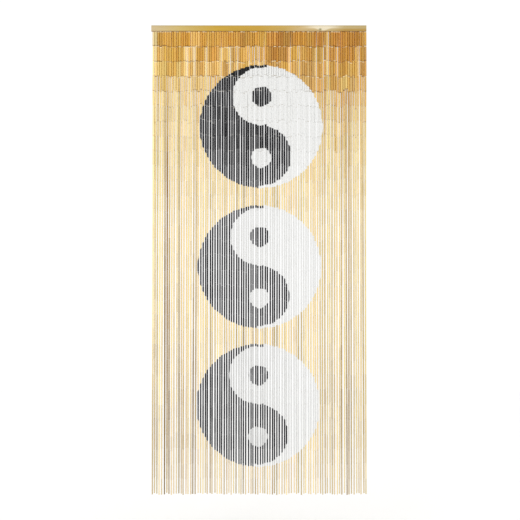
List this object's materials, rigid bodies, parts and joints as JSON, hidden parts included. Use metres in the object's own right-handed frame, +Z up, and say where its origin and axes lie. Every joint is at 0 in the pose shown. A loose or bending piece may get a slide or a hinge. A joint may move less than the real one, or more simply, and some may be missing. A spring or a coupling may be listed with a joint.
{
  "type": "bead curtain on a wooden rail",
  "caption": "Doorway curtain: strands of bamboo tubes hang side by side from a flat wooden rail, painted with round yin-yang figures, and part as people walk through.",
  "frame": {"origin": "centre of the rail's flat back face", "axes": "+X along the rail, to the right seen from the front; +Y out of the rail's back face, towards what it is fixed to; +Z up; the strands hang down -Z"},
  "size_m": [0.9006, 0.014, 1.9656],
  "materials": {
    "lacquered_wood": "golden lath under clear gloss lacquer",
    "bamboo": "cut bamboo tubes, golden at the top and paler below, with matt black and white paint",
    "steel_wire": "thin bright wire"
  },
  "bodies": {
    "root": {"rail": "lacquered_wood", "strand_comb": "bamboo"}
  },
  "joints": []
}
